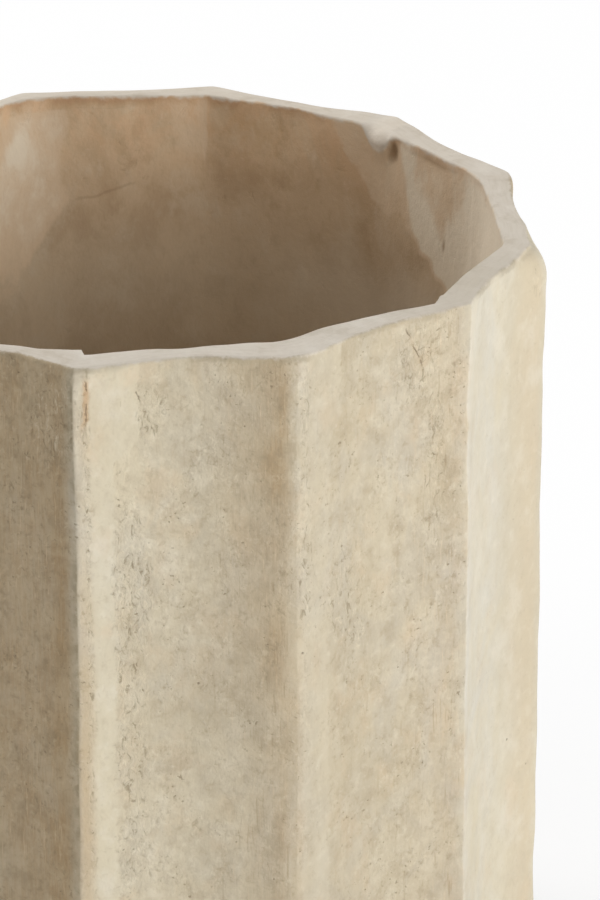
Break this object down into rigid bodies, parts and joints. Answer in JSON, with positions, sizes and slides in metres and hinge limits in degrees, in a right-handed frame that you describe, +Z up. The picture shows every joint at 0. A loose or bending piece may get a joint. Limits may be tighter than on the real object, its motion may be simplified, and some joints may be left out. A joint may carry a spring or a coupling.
{
  "type": "fluted clay flower pot",
  "caption": "Tall straight-sided flower pot in rough sandy clay with hollow flutes round its wall, a cut rim, a luted floor with a drain hole, a lift-out plug and foot pads.",
  "frame": {"origin": "on the table, under the middle of the pot", "axes": "+Z up along the pot's axis; -Y is the front seen in the picture, +X its right"},
  "size_m": [0.2568, 0.2602, 0.2833],
  "materials": {
    "sandy_clay": "unglazed fired clay, mottled sand and grey, with a pale wiped bloom on the ridges and rim",
    "floor_clay": "unglazed fired clay, wiped smooth, browner than the outside",
    "plug_rubber": "matt moulded rubber",
    "pad_rubber": "matt rubber pad"
  },
  "bodies": {
    "pot": {"fluted_wall": "sandy_clay", "floor_slab": "floor_clay", "seam_coil": "floor_clay", "foot_pad_1": "pad_rubber", "foot_pad_2": "pad_rubber", "foot_pad_3": "pad_rubber", "foot_pad_4": "pad_rubber"},
    "plug": {"drain_plug": "plug_rubber"}
  },
  "joints": [
    {"name": "plug_pull", "type": "slide", "parent": "pot", "child": "plug", "axis": [0, 0, 1], "range_m": [0, 0.28]}
  ]
}
